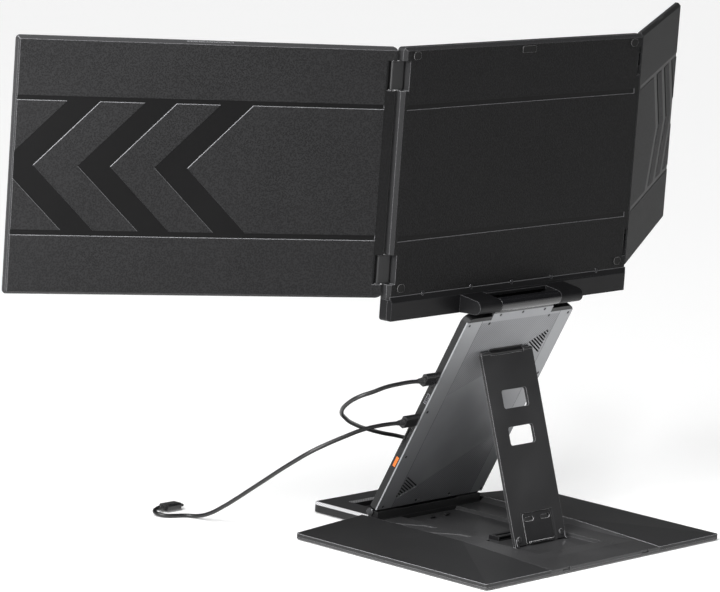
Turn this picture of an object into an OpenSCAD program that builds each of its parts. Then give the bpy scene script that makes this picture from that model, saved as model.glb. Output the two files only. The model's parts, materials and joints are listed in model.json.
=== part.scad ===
// Laptop screen extender: three hinged displays on a leaning arm, a prop strut and a floor plate.
// Millimetres. X runs across the desk, Y away from the user, Z up. X = 0 is the middle of the
// floor plate, Y = 0 its front edge and Z = 0 the desk. "right" is the user's right (+X).

/* [Displays] */
// Width of the centre display panel
centre_w = 366; // [365:1:380]
// Width of the right-hand display panel
side_w = 360.8; // [360:0.2:372]
// Width of the left-hand display panel, which folds inside the right-hand links
left_w = 359; // [358.4:0.1:359.1]
// Height of the side display panels
panel_h = 236; // [227:1:250]
// Thickness of the side display panels
panel_t = 6; // [5.8:0.1:6.4]
// Thickness of the centre display panel
centre_t = 9.9; // [9.4:0.1:10.4]
// Fold angle of each of the two right-hand pivots, measured from flat
right_fold = 15.3; // [0:0.1:30]
// Fold angle of the left-hand hinge, measured from flat
left_fold = 30.5; // [0:0.5:45]

/* [Arm] */
// Width of the arm plate
arm_w = 162.6; // [156:0.2:170]
// Thickness of the arm plate
arm_t = 8.6; // [8.2:0.1:9.4]
// Lean of the arm plate from the desk
arm_angle = 64.5; // [63.5:0.1:65.5]
// Distance from the arm's lower edge to its tilt hinge
arm_len = 240.1; // [236:0.1:244]

/* [Strut] */
// Width of the prop strut
strut_w = 78.8; // [70:0.2:80]
// Distance between the strut's upper pivot and its foot pin
strut_len = 186.6; // [185.2:0.1:188.6]

/* [Floor plate] */
// Width of the floor plate
base_w = 364; // [345:1:390]
// Depth of the floor plate
base_d = 236; // [226:1:250]
// Height of the floor plate's rim
rim_z = 6.4; // [6:0.1:7.4]
// Height of the ridge between the wing facets
ridge_z = 12; // [11.4:0.1:13]
// Width of the rubber-lined front foot
foot_w = 160; // [156:1:161]
// How far the front foot reaches towards the user
foot_reach = 70; // [60:1:80]

/* [Cables] */
// Diameter of both signal cables
cable_d = 4; // [3.4:0.1:4.4]

/* [Hidden] */
$fn = 48;
eps = 0.01;
cut = 1;

// floor plate
pad_t = 1.2;
pan_t = 2;
pan_top = pad_t + pan_t;
wing_x = 85;
wing_drop_x = 95.3;
wing_drop_y = 108.5;
wing_skin = 2;
corner_r = 3;
tray_t = 1.2;
tray_floor = pan_top + tray_t;
tray_deck = 7.6;
tray_lip = 11.2;
tray_drop = 0.4;
channel_x = 41;
channel_slope = 5;
deck_x = 79;
tray_y0 = 14.2;
channel_y1 = 136;
pit_x = 48;
pit_y0 = 126;
pit_y1 = 192;
foot_body_top = 8.3;
foot_top = 11;
foot_back = 14;
foot_bar_x = 29;
foot_bar_y = 22;
foot_mouth = 2.6;
bar_y0 = 11;
bar_z1 = 15.8;
nub_x = 61.7;
nub_w = 12;
nub_d = 1.2;
foot_r = 8;
trim_chamfer = 2.4;
trim_back = 2;
catch_w = 60;
catch_y = 115;
catch_d = 12.5;
catch_h = 4.3;
catch_wall = 2;
tab_x = 12;
tab_w = 7;
tab_y = 27;
tab_t = 1.4;
tab_h = 2.6;
strip_w = 60;
strip_d = 14;
puck_r = 8;
puck_x = 160;
puck_y = 16;
screw_x = 150;
screw_inset = 30;

// hinge between floor plate and arm
axis_y = 5.6;
axis_z = 15.45;
knuckle_r = 3.4;
pin_r = 1.5;
fit = 0.05;
ear_in = 45;
ear_out = 79;
ear_wall = 4;
ear_top = 16.5;
cap_r = 3.8;
cap_t = 2.2;
barrel_half = 44.6;

// arm plate, in its own frame: Y along the plate from the lower edge, Z towards the front
arm_low = -6.4;
arm_fore = 6.2;
arm_top = 231;
arm_shoulder = 227.9;
arm_r = 8;
cover_t = 1.6;
cover_top = 223.5;
tongue_x = 46;
wall = 2.6;
face_t = 1.6;
hollow_y0 = 6;
hollow_y1 = 214;
mid_depth = 4.3;
head_r = 1.5;
head_clear = 0.1;
head_sink = 0.7;
screw_r = 0.9;
head_t = 0.6;
board_t = 1.6;
board_w = 40;
board_y0 = 40;
board_y1 = 170;
board_back = 1.1;
board_gap = 0.2;
board_clear = 4;
vent_w = 1.5;
vent_rows = 8;
vent_pitches = 8.5;

// side of the arm
usb_w = 9;
usb_t = 3.2;
usb_deep = 7;
usb_sink = 0.3;
socket_wall = 0.35;
usb_up = 155.9;
usb_low = 106.3;
hdmi_y = 131.5;
hdmi_w = 11.2;
hdmi_t = 3.2;
reset_y = 144.7;
reset_r = 0.6;
button_y = 56.1;
button_w = 10.8;
button_t = 3.1;
button_deep = 3.4;
button_proud = 0.3;
button_gap = 0.15;
dial_y = 86.5;
dial_r = 6.5;
dial_t = 3.4;
dial_sink = 7.1;
dial_gap = 0.2;
scoop_y0 = 73;
scoop_y1 = 80;
scoop_y2 = 94;
scoop_y3 = 95.5;
scoop_sink = 2.2;
scoop_d0 = 2.4;
scoop_d1 = 7.2;
plug_w = 12;
plug_t = 6.5;
plug_l = 19;
plug_gap = 0.35;
plug_r = 2;
relief_r0 = 2.9;
relief_r1 = 2.15;
relief_l = 9.35;
collar_r = 3.1;
collar_t = 1.2;
collar_step = 2.4;
tip_w = 8.3;
tip_t = 2.4;
tip_l = 5;

// tilt hinge
tilt_depth = 1.8;
tilt_r = 6.8;
tilt_half = 45.4;
tilt_ear_in = 46;
tilt_ear_out = 79.2;
tilt_pin_r = 3;
ear_root = 7.4;
ear_waist = 6.95;
ear_reach = 10.6;
ear_tuck = 0.8;
ear_end = 1.4;
ledge_h = 3;
ledge_d = 5;
ledge_drop = 0.6;
neck_y0 = 231;
neck_t = 6.4;

// strut
strut_along = 183;
strut_back = 2.2;
strut_t = 3;
strut_knuckle_r = 1.8;
strut_pin_r = 1.1;
strut_corner_r = 2.5;
lug_x = 24.6;
lug_gap = 0.6;
lug_t = 2.8;
lug_base_h = 4.2;
lug_base_t = 0.5;
strut_pin_half = 37.6;
strut_over = 0.4;
window_x = 19;
window_h = 17.9;
window_r = 2.5;
window_1 = 36.9;
window_2 = 73;
door_x = -0.8;
door_w = 43.6;
door_t = 1;
door_sink = 0.5;
door_slope = 3;
door_top = 157;
door_r = 4;
slot_x = 12.35;
slot_w = 14;
slot_h = 3.9;
slot_down = 161.3;
rail_x = 17.7;
rail_w = 1.5;
rail_proud = 1.4;
boss_x = 32.5;
boss_r = 2.6;
boss_t = 1.2;
boss_down = 181;
strut_foot_r = 1.5;
foot_pin_r = 0.9;
foot_pin_in = 26;
foot_pin_out = 39.2;
foot_gap = 0.1;
clip_x = 37.4;
clip_r = 0.6;
clip_down = 180.4;
clip_foot_r = 1.1;
clip_foot_w = 2.6;
clip_foot_down = 0.9;

// display panels
back_y = 95;
centre_z0 = 249;
centre_z1 = 485.6;
bend_z = 251.7;
chamfer = 3.2;
panel_r = 4;
skin = 1.4;
rim_w = 2;
bezel_t = 1.2;
glass_t = 2.6;
glass_w = 344.8;
glass_h = 215.6;
glass_lap = 1.4;
glass_shift = 0.2;
glass_step = 0.1;
glass_sink = 0.3;
hinge_rib = 9.6;
left_rib = 8.4;
centre_rib = 9.1;
edge_break = 0.6;
board_lift = 0.1;
display_board_t = 0.6;
display_board_x = 110;
display_board_y = 4;
display_board_w = 120;
display_board_h = 40;
recess = 0.6;
band_z1 = 179;
band_z0 = 51.7;
field_s0 = 6.8;
field_s1 = 354.6;
groove_x0 = -172.8;
groove_x1 = 176;
groove_z1 = 180.3;
groove_z0 = 56.5;
groove_h = 5;
notch_w = 44;
notch_t = 1.2;
notch_back = 0.6;
chin_back = 96.9;
chin_bottom = 228.5;
chin_wall = 1.6;
chin_end = 4.5;
chin_r = 3.5;
chin_bevel = 5.9;
chin_lip = 248.9;
dome_x1 = 62;
dome_x2 = 133.8;
dome_r = 2.2;
dome_h = 0.9;
bumper_w = 10.3;
bumper_h = 7.6;
bumper_r = 3.6;
bumper_t = 0.8;
bumper_x = 166.5;
bumper_hi = 226;
bumper_lo = 7.2;
bumper_mid_w = 20.6;
bumper_mid_h = 6.5;
bumper_mid_r = 1.8;

// right-hand two-axis hinges: pin places are measured from the panels' edges and backs
link_pitch = 10.4;
link_r = 2.55;
link_flat = 1.7;
link_h = 26.6;
link_inset_centre = 5;
link_inset_side = 3;
link_depth = 4.3;
pocket_h = 27.8;
pocket_centre = 7.8;
pocket_side = 8.3;
pocket_floor = 4.2;
strip_x = 9.8;
strip_sink = 0.35;
hinge_low = 277;
hinge_high = 459;
small_pin_r = 1;
small_pin_over = 3;

// left-hand hinges
left_gap = 1;
left_front = 0.3;
left_knuckle_r = 2.8;
left_mid_h = 12.6;
left_out_h = 7.2;
left_step = 0.2;
leaf_t = 3.4;
leaf_lift = 0.1;
notch_centre = 8.3;
notch_side = 7.4;
notch_skin = 1.8;

// cables: points in round numbers, the first at the plug tail on the arm
cable_ring = 10;
lower_path = [[110.3, 56, 116.4], [119, 54.5, 116.3], [130, 51.5, 115.5], [148, 46, 112.5],
    [165, 38, 106], [180, 28, 98], [190, 18, 90], [196, 4, 79], [200, -10, 68], [201, -26, 56],
    [201, -44, 43], [201, -62, 30], [200, -80, 18], [200, -97, 8], [201, -110, 3.2],
    [206, -121, 2], [217, -127, 2], [223.5, -130.5, 2.1], [227.5, -136, 2.6],
    [227.5, -142, 3.2], [223.5, -147.3, 4], [217, -150, 4.5]];
upper_path = [[110.3, 77.2, 161.1], [120, 77, 161.5], [134, 76, 161], [151, 73, 159],
    [165, 69, 155], [174, 61.5, 150.5], [175.5, 49, 142.1], [168.1, 35, 131], [147.2, 22.5, 119.1],
    [114.7, 9, 106.3], [81.1, -0.8, 95.9], [55.6, -4.5, 88.9], [39.3, -6, 85.2], [23.5, -8, 81.1],
    [8, -13, 77], [-8, -22, 69], [-23, -34, 57], [-38, -48, 42.5], [-54, -62, 27], [-72, -75, 13],
    [-92, -84.5, 4.2], [-112, -88, 2], [-136, -86.3, 2], [-150, -86, 2]];
coil_x = -150;
coil_y = -110;
coil_r = 20;
coil_pitch = 4.05;
end_plug_y = -150;
end_plug_x = 208;
end_plug_z = 4.5;
spare_plug_x = -161;
spare_plug_y = -138;

// places that follow from the sizes above
arm_y = axis_y - arm_low * cos(arm_angle) + arm_fore * sin(arm_angle);
arm_z = axis_z - arm_low * sin(arm_angle) - arm_fore * cos(arm_angle);
pivot_y = arm_y + strut_along * cos(arm_angle) + strut_back * sin(arm_angle);
pivot_z = arm_z + strut_along * sin(arm_angle) - strut_back * cos(arm_angle);
foot_pin_z = tray_floor + strut_foot_r + foot_gap;
strut_angle = asin((pivot_z - foot_pin_z) / strut_len);
tilt_y = arm_y + arm_len * cos(arm_angle) - tilt_depth * sin(arm_angle);
tilt_z = arm_z + arm_len * sin(arm_angle) + tilt_depth * cos(arm_angle);
board_z = arm_t - face_t - board_back - board_t;
chin_front = back_y - centre_t;
pocket_front = link_inset_side + link_r + fit;
link_x = centre_w / 2 - link_inset_centre;
link_y = chin_front + panel_t - link_depth;
far_x = link_x + link_pitch * cos(right_fold);
far_y = link_y - link_pitch * sin(right_fold);
left_x = -centre_w / 2 - left_gap;
left_y = chin_front - left_front;
side_z0 = centre_z1 - panel_h;
side_glass_x = hinge_rib + glass_lap + glass_shift;
left_glass_x = left_rib + glass_lap + glass_shift;

// ---- shared shapes ----

module round_slab(w, d, h, r) {
    translate([r, 0, 0]) cube([w - 2 * r, d, h]);
    translate([0, r, 0]) cube([w, d - 2 * r, h]);
    for (x = [r, w - r]) for (y = [r, d - r]) translate([x, y, 0]) cylinder(r = r, h = h);
}

module x_prism(points, x0, x1) {
    translate([x0, 0, 0]) rotate([90, 0, 90]) linear_extrude(x1 - x0) polygon(points);
}

module x_rod(r, x0, x1) {
    translate([x0, 0, 0]) rotate([0, 90, 0]) cylinder(r = r, h = x1 - x0);
}

module both() {
    children();
    mirror([1, 0, 0]) children();
}

module in_arm() {
    translate([0, arm_y, arm_z]) rotate([arm_angle, 0, 0]) children();
}

module at_strut() {
    translate([0, pivot_y, pivot_z]) rotate([-strut_angle, 0, 0]) children();
}

module at_tilt() {
    translate([0, tilt_y, tilt_z]) children();
}

module on_right() {
    translate([far_x, far_y, side_z0]) rotate([0, 0, -2 * right_fold])
        translate([-link_inset_side, link_depth, 0]) children();
}

module on_left() {
    translate([left_x, left_y, side_z0]) rotate([0, 0, left_fold]) mirror([1, 0, 0])
        translate([left_gap, panel_t + left_front, 0]) children();
}

// ---- floor plate ----

module wing_form(drop) {
    intersection() {
        x_prism([[0, pan_top], [base_d, pan_top], [base_d, rim_z - drop],
            [base_d - wing_drop_y, ridge_z - drop], [0, ridge_z - drop]], 0, base_w / 2);
        translate([0, base_d, 0]) rotate([90, 0, 0]) linear_extrude(base_d)
            polygon([[0, pan_top], [base_w / 2, pan_top], [base_w / 2, rim_z - drop],
                [base_w / 2 - wing_drop_x, ridge_z - drop], [0, ridge_z - drop]]);
        translate([0, 0, pan_top]) linear_extrude(ridge_z)
            polygon([[wing_x + drop, drop], [base_w / 2 - drop, drop],
                [base_w / 2 - drop, base_d - drop], [wing_x + drop, base_d - drop]]);
    }
}

module wing() {
    intersection() {
        difference() {
            wing_form(0);
            translate([0, 0, -eps]) wing_form(wing_skin);
            rear_notches();
        }
        translate([-base_w / 2, 0, 0]) round_slab(base_w, base_d, ridge_z + cut, corner_r);
    }
}

// notches in the rear edge where the tray meets the wings
module rear_notches() {
    both() translate([nub_x - nub_w / 2, base_d - nub_d, pan_top])
        cube([nub_w, nub_d + cut, ridge_z]);
}

module base_pan() {
    color([0.05, 0.05, 0.055]) difference() {
        translate([-base_w / 2, 0, pad_t]) round_slab(base_w, base_d, pan_t, corner_r);
        translate([-foot_w / 2 - fit, -cut, 0])
            cube([foot_w + 2 * fit, foot_back + fit + cut, pan_top + cut]);
    }
}

module right_wing_cover() {
    color([0.09, 0.09, 0.095]) wing();
}

module left_wing_cover() {
    color([0.09, 0.09, 0.095]) mirror([1, 0, 0]) wing();
}

module tray_block() {
    intersection() {
        translate([0, base_d, 0]) rotate([90, 0, 0]) linear_extrude(base_d - tray_y0)
            polygon([[-wing_x, pan_top], [wing_x, pan_top], [wing_x, tray_lip], [deck_x, tray_deck],
                [-deck_x, tray_deck], [-wing_x, tray_lip]]);
        x_prism([[0, pan_top], [base_d, pan_top], [base_d, rim_z - tray_drop],
            [base_d - wing_drop_y, ridge_z], [0, ridge_z]], -wing_x, wing_x);
    }
}

module slope_cut(half, y0, y1, slope) {
    translate([0, y1, 0]) rotate([90, 0, 0]) linear_extrude(y1 - y0)
        polygon([[-half, tray_floor], [half, tray_floor], [half + slope, ridge_z + cut],
            [-half - slope, ridge_z + cut]]);
}

module plateau_scoop(y) {
    translate([0, y, tray_deck - 0.8]) linear_extrude(ridge_z)
        polygon([[73, 0], [52, 25], [49, 39], [70, 30]]);
}

module base_tray() {
    color([0.1, 0.1, 0.105]) difference() {
        tray_block();
        slope_cut(channel_x, tray_y0 - cut, channel_y1, channel_slope);
        slope_cut(pit_x, pit_y0, pit_y1, 2);
        plateau_scoop(27);
        plateau_scoop(69.5);
        rear_notches();
    }
}

// low block across the channel with a groove on top and a recess in its rear face
module strut_catch() {
    inner = catch_w - 2 * catch_wall;
    color([0.07, 0.07, 0.075]) translate([0, catch_y, tray_floor]) difference() {
        translate([-catch_w / 2, 0, 0]) cube([catch_w, catch_d, catch_h]);
        translate([-inner / 2, 2 * catch_wall, catch_h - catch_wall])
            cube([inner, 2 * catch_wall, catch_h]);
        translate([-inner / 2, catch_d - catch_wall, catch_wall / 2])
            cube([inner, catch_wall + cut, catch_h - catch_wall]);
    }
}

module hook_tabs() {
    color([0.07, 0.07, 0.075]) for (x = [-tab_x - tab_w / 2 + 1, tab_x - tab_w / 2 - 1]) {
        translate([x, tab_y, tray_floor]) cube([tab_w, tab_t, tab_h]);
        translate([x, tab_y, tray_floor + tab_h - 0.8]) cube([tab_w, tab_t * 2, 0.8]);
    }
}

module front_foot_frame() {
    color([0.06, 0.06, 0.065]) difference() {
        union() {
            translate([-foot_w / 2, -foot_reach, pad_t])
                round_slab(foot_w, foot_reach, foot_body_top - pad_t, foot_r);
            translate([-foot_w / 2, -foot_r, pad_t])
                cube([foot_w, foot_back + foot_r, foot_body_top - pad_t]);
        }
        translate([-foot_w / 2 + foot_bar_x, -foot_reach + foot_bar_y, pan_top])
            cube([foot_w - 2 * foot_bar_x, foot_reach - foot_bar_y + foot_mouth, foot_top]);
    }
}

module front_foot_trim() {
    bevel = trim_chamfer;
    low = foot_body_top;
    color([0.2, 0.2, 0.21]) difference() {
        intersection() {
            translate([-foot_w / 2, -foot_reach, low])
                round_slab(foot_w, foot_reach + 20, foot_top - low, foot_r);
            translate([0, trim_back, 0]) rotate([90, 0, 0]) linear_extrude(foot_reach + trim_back)
                polygon([[-foot_w / 2, low], [foot_w / 2, low], [foot_w / 2 - bevel, foot_top],
                    [-foot_w / 2 + bevel, foot_top]]);
            x_prism([[-foot_reach, low], [trim_back, low], [trim_back, foot_top],
                [-foot_reach + bevel, foot_top]], -foot_w / 2, foot_w / 2);
        }
        translate([-foot_w / 2 + foot_bar_x, -foot_reach + foot_bar_y, 0])
            cube([foot_w - 2 * foot_bar_x, foot_reach, foot_top + cut]);
    }
}

module ear_profile() {
    difference() {
        union() {
            x_prism([[axis_y - knuckle_r, foot_body_top], [foot_back, foot_body_top],
                [foot_back, ear_top], [foot_back - ear_wall, ear_top],
                [axis_y, axis_z], [axis_y - knuckle_r, axis_z]], ear_in, ear_out);
            translate([0, axis_y, axis_z]) x_rod(knuckle_r, ear_in, ear_out);
        }
        translate([0, axis_y, axis_z]) x_rod(pin_r + fit, ear_in - cut, ear_out + cut);
    }
}

module arm_hinge_brackets() {
    color([0.05, 0.05, 0.055]) {
        both() ear_profile();
        translate([-ear_in, bar_y0, foot_body_top])
            cube([2 * ear_in, foot_back - bar_y0, bar_z1 - foot_body_top]);
    }
}

module arm_hinge_caps() {
    color([0.12, 0.12, 0.13]) both() translate([0, axis_y, axis_z])
        x_rod(cap_r, ear_out, ear_out + cap_t);
}

module rubber_feet() {
    color([0.03, 0.03, 0.03]) {
        translate([-strip_w / 2, -strip_d / 2, 0]) cube([strip_w, strip_d, pad_t]);
        both() translate([puck_x, puck_y, 0]) cylinder(r = puck_r, h = pad_t);
        both() translate([puck_x, base_d - puck_y, 0]) cylinder(r = puck_r, h = pad_t);
        both() translate([foot_w / 2 - puck_y, -foot_reach + puck_y, 0])
            cylinder(r = puck_r, h = pad_t);
    }
}

module base_screws() {
    color([0.2, 0.2, 0.21]) both() for (y = [screw_inset, base_d - screw_inset])
        translate([screw_x, y, pad_t - 0.6]) cylinder(r = 2.4, h = 0.6);
}

// ---- arm plate ----

module arm_outline(h) {
    translate([-arm_w / 2, 0, 0]) cube([arm_w, arm_shoulder - arm_r, h]);
    translate([-arm_w / 2 + arm_r, 0, 0]) cube([arm_w - 2 * arm_r, arm_shoulder, h]);
    both() translate([arm_w / 2 - arm_r, arm_shoulder - arm_r, 0]) cylinder(r = arm_r, h = h);
    translate([-tongue_x, 0, 0]) cube([2 * tongue_x, arm_top, h]);
}

module side_slot(along, w, t, deep) {
    translate([arm_w / 2 - deep, along - w / 2, mid_depth - t / 2]) cube([deep + cut, w, t]);
}

// outline of the back cover, grown by a gap and run out through the arm's back
module cover_form(gap) {
    translate([-arm_w / 2 - gap, -gap, -cut])
        cube([arm_w + 2 * gap, cover_top + 2 * gap, cut + cover_t]);
    translate([-tongue_x - gap, 0, -cut])
        cube([2 * tongue_x + 2 * gap, arm_top + gap, cut + cover_t]);
}

// shallow thumb hollow around the dial, in the arm's side
module thumb_hollow() {
    translate([arm_w / 2, 0, scoop_d0]) linear_extrude(scoop_d1 - scoop_d0)
        polygon([[cut, scoop_y0], [0, scoop_y0], [-scoop_sink, scoop_y1], [-scoop_sink, scoop_y2],
            [0, scoop_y3], [cut, scoop_y3]]);
}

module arm_frame() {
    color([0.04, 0.04, 0.045]) in_arm() difference() {
        arm_outline(arm_t);
        cover_form(fit);
        translate([-arm_w / 2 + wall, hollow_y0, cover_t])
            cube([arm_w - 2 * wall, hollow_y1 - hollow_y0, arm_t - cover_t - face_t]);
        side_slot(usb_up, usb_w + 2 * fit, usb_t + 2 * fit, wall + cut);
        side_slot(usb_low, usb_w + 2 * fit, usb_t + 2 * fit, wall + cut);
        side_slot(hdmi_y, hdmi_w + 2 * fit, hdmi_t + 2 * fit, wall + cut);
        side_slot(button_y, button_w + 2 * button_gap, button_t + 2 * button_gap, wall + cut);
        translate([arm_w / 2 - wall - cut, reset_y, mid_depth]) rotate([0, 90, 0])
            cylinder(r = reset_r, h = wall + 2 * cut);
        thumb_hollow();
        translate([arm_w / 2 - dial_sink, dial_y, mid_depth - dial_t / 2 - dial_gap])
            cylinder(r = dial_r + dial_gap, h = dial_t + 2 * dial_gap);
    }
}

// places of the cover screws: across, along
cover_screws = [[76, 219.7], [-76, 219.7], [46, 219.5], [-46, 219.5], [34, 228.3], [-34, 228.3],
    [0, 228.5], [76, 118], [75, 64], [73, 3], [23.4, 3.8], [-27.3, 4.1], [-76.4, 146.7], [-80, 0.5]];
// only those with a rim under them carry a screw
screw_margin = 3;

function held(p) = [max(-arm_w / 2 + screw_margin, min(arm_w / 2 - screw_margin, p[0])),
    max(screw_margin, p[1])];

// corners of the two vent fields: both ends of the long side and the tip, across and along
upper_vents = [[-58.7, 174.2], [-34.8, 189.2], [-58.7, 203.4]];
lower_vents = [[33.2, 22.3], [56.5, 36.7], [60.5, 10]];

// parallel slots that grow shorter from the long side of a triangle to its tip
module vent_field(corners) {
    for (i = [0 : vent_rows - 1]) {
        a = corners[0] + (corners[2] - corners[0]) * i / vent_pitches;
        b = corners[1] + (corners[2] - corners[1]) * i / vent_pitches;
        translate([a[0], a[1], -cut]) rotate([0, 0, atan2(b[1] - a[1], b[0] - a[0])])
            translate([0, -vent_w / 2, 0]) cube([norm(b - a), vent_w, cover_t + 2 * cut]);
    }
}

module arm_back_cover() {
    color([0.42, 0.43, 0.45]) in_arm() difference() {
        union() {
            translate([-arm_w / 2, 0, 0]) cube([arm_w, cover_top, cover_t]);
            translate([-tongue_x, 0, 0]) cube([2 * tongue_x, arm_top, cover_t]);
        }
        for (p = cover_screws) translate([held(p)[0], held(p)[1], -cut])
            cylinder(r = head_r + head_clear, h = head_sink + cut);
        for (p = cover_screws) translate([held(p)[0], held(p)[1], -cut])
            cylinder(r = screw_r + head_clear, h = cover_t + 2 * cut);
        vent_field(upper_vents);
        vent_field(lower_vents);
    }
}

module arm_cover_screws() {
    color([0.08, 0.08, 0.08]) in_arm() for (p = cover_screws)
        translate([held(p)[0], held(p)[1], head_sink - head_t]) cylinder(r = head_r, h = head_t);
}

// clear space around the dial, the button and the sockets
module board_cut(along, deep, half) {
    translate([board_w - deep, along - board_y0 - half, -cut])
        cube([deep + cut, 2 * half, board_t + 2 * cut]);
}

module control_board() {
    color([0.05, 0.16, 0.09]) in_arm()
        translate([arm_w / 2 - wall - board_gap - board_w, board_y0, board_z]) difference() {
            cube([board_w, board_y1 - board_y0, board_t]);
            board_cut(dial_y, dial_sink + dial_r + cut - wall, dial_r + cut);
            board_cut(button_y, board_clear, button_w / 2 + cut);
            for (along = [usb_up, usb_low, hdmi_y]) board_cut(along, usb_deep, hdmi_w / 2 + cut);
        }
}

module socket(along, w, t) {
    in_arm() translate([arm_w / 2 - usb_deep - usb_sink, along - w / 2, mid_depth - t / 2])
        difference() {
            cube([usb_deep, w, t]);
            translate([2 * socket_wall, socket_wall, socket_wall])
                cube([usb_deep, w - 2 * socket_wall, t - 2 * socket_wall]);
        }
}

module upper_usb_port() {
    color([0.55, 0.55, 0.56]) socket(usb_up, usb_w, usb_t);
}

module lower_usb_port() {
    color([0.55, 0.55, 0.56]) socket(usb_low, usb_w, usb_t);
}

module mini_video_port() {
    color([0.55, 0.55, 0.56]) socket(hdmi_y, hdmi_w, hdmi_t);
}

module arm_hinge_barrel() {
    color([0.06, 0.06, 0.065]) in_arm() difference() {
        union() {
            translate([0, arm_low, arm_fore]) x_rod(knuckle_r, -barrel_half, barrel_half);
            translate([-barrel_half, arm_low, cover_t + 0.4])
                cube([2 * barrel_half, -arm_low, arm_t - cover_t - 0.8]);
        }
        translate([0, arm_low, arm_fore]) x_rod(pin_r + fit, -barrel_half - cut, barrel_half + cut);
    }
}

module arm_hinge_pin() {
    color([0.5, 0.5, 0.52]) in_arm() translate([0, arm_low, arm_fore])
        x_rod(pin_r, -ear_out + 0.3, ear_out - 0.3);
}

module strut_hinge_bracket() {
    color([0.06, 0.06, 0.065]) in_arm() difference() {
        union() {
            translate([-lug_x, strut_along - lug_t / 2, -strut_back])
                cube([2 * lug_x, lug_t, strut_back]);
            translate([-lug_x, strut_along, -lug_base_t]) cube([2 * lug_x, lug_base_h, lug_base_t]);
            translate([0, strut_along, -strut_back]) x_rod(strut_knuckle_r, -lug_x, lug_x);
        }
        translate([0, strut_along, -strut_back]) x_rod(strut_pin_r + fit, -lug_x - cut, lug_x + cut);
    }
}

module strut_hinge_pin() {
    color([0.6, 0.6, 0.62]) in_arm() translate([0, strut_along, -strut_back])
        x_rod(strut_pin_r, -strut_pin_half, strut_pin_half);
}

module tilt_barrel() {
    color([0.03, 0.03, 0.035]) in_arm() difference() {
        union() {
            translate([0, arm_len, tilt_depth]) x_rod(tilt_r, -tilt_half, tilt_half);
            translate([-tilt_half, neck_y0, 0.2]) cube([2 * tilt_half, arm_len - neck_y0, neck_t]);
        }
        translate([0, arm_len, tilt_depth]) x_rod(tilt_pin_r + fit, -tilt_half - cut,
            tilt_half + cut);
    }
}

module tilt_shaft() {
    color([0.5, 0.5, 0.52]) in_arm() translate([0, arm_len, tilt_depth])
        x_rod(tilt_pin_r, -tilt_ear_out + 1.6, tilt_ear_out - 1.6);
}

// moulded plug along X: its face at X = 0, the metal tip in front of it and the strain relief behind
module plug_body() {
    translate([0, -plug_w / 2, -plug_t / 2]) rotate([90, 0, 90])
        round_slab(plug_w, plug_t, plug_l, plug_r);
    translate([plug_l, 0, 0]) rotate([0, 90, 0]) {
        cylinder(r1 = relief_r0, r2 = relief_r1, h = relief_l);
        for (i = [0 : 2]) translate([0, 0, collar_t / 2 + i * collar_step])
            cylinder(r = collar_r - i * (collar_r - relief_r1) / 4, h = collar_t);
    }
    translate([-tip_l, -tip_w / 2, -tip_t / 2]) cube([tip_l, tip_w, tip_t]);
}

module arm_plug(along) {
    in_arm() translate([arm_w / 2 + plug_gap, along, mid_depth]) plug_body();
}

module upper_cable_plug() {
    color([0.05, 0.05, 0.05]) arm_plug(usb_up);
}

module lower_cable_plug() {
    color([0.05, 0.05, 0.05]) arm_plug(usb_low);
}

module power_button() {
    color([0.95, 0.36, 0.06]) in_arm()
        translate([arm_w / 2 + button_proud - button_deep, button_y - button_w / 2,
            mid_depth - button_t / 2])
            cube([button_deep, button_w, button_t]);
}

module menu_dial() {
    color([0.08, 0.08, 0.08]) in_arm()
        translate([arm_w / 2 - dial_sink, dial_y, mid_depth - dial_t / 2])
            cylinder(r = dial_r, h = dial_t);
}

// ---- strut, in its own frame: Y runs down the strut's outer face, seen flat ----

module strut_down(y0, y1, x, t0, t1) {
    translate([-x, y0, t0]) cube([2 * x, y1 - y0, t1 - t0]);
}

module strut_round(y0, y1, x, r) {
    translate([-x, y0, -strut_t]) round_slab(2 * x, y1 - y0, 2 * strut_t, r);
}

module door_slots() {
    both() translate([slot_x - slot_w / 2, slot_down, -strut_t])
        round_slab(slot_w, slot_h, 2 * strut_t, slot_h / 2 - eps);
}

// recess for the door, open at the strut's lower end: its side walls slope outwards
module door_recess() {
    half = door_w / 2 + fit;
    low = strut_len + strut_foot_r + cut;
    translate([0, low, 0]) rotate([90, 0, 0]) linear_extrude(low - door_top)
        polygon([[-half, strut_t / 2 - door_t], [half, strut_t / 2 - door_t],
            [half + door_slope, strut_t / 2 + eps], [-half - door_slope, strut_t / 2 + eps]]);
}

module strut_plate() {
    half = strut_w / 2;
    tab = lug_x + lug_gap;
    color([0.1, 0.1, 0.105]) at_strut() difference() {
        union() {
            intersection() {
                union() {
                    strut_down(0, strut_len, half, -strut_t / 2, strut_t / 2);
                    strut_down(-strut_knuckle_r, 0, half, 0, strut_t / 2);
                    x_rod(strut_knuckle_r, -half, half);
                }
                strut_round(-strut_knuckle_r, strut_len + strut_corner_r, half, strut_corner_r);
            }
            translate([0, strut_len, 0]) x_rod(strut_foot_r, -half, half);
            both() translate([boss_x, boss_down, strut_t / 2 - eps])
                cylinder(r = boss_r, h = boss_t);
        }
        strut_down(-strut_knuckle_r - cut, strut_knuckle_r + strut_over, tab, -strut_t, strut_t);
        x_rod(strut_pin_r + fit, -half - cut, half + cut);
        for (y = [window_1, window_2]) strut_round(y, y + window_h, window_x, window_r);
        translate([door_x, 0, 0]) {
            door_recess();
            door_slots();
        }
        both() translate([0, strut_len, 0]) x_rod(foot_pin_r + fit, foot_pin_in - fit, half + cut);
    }
}

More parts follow.
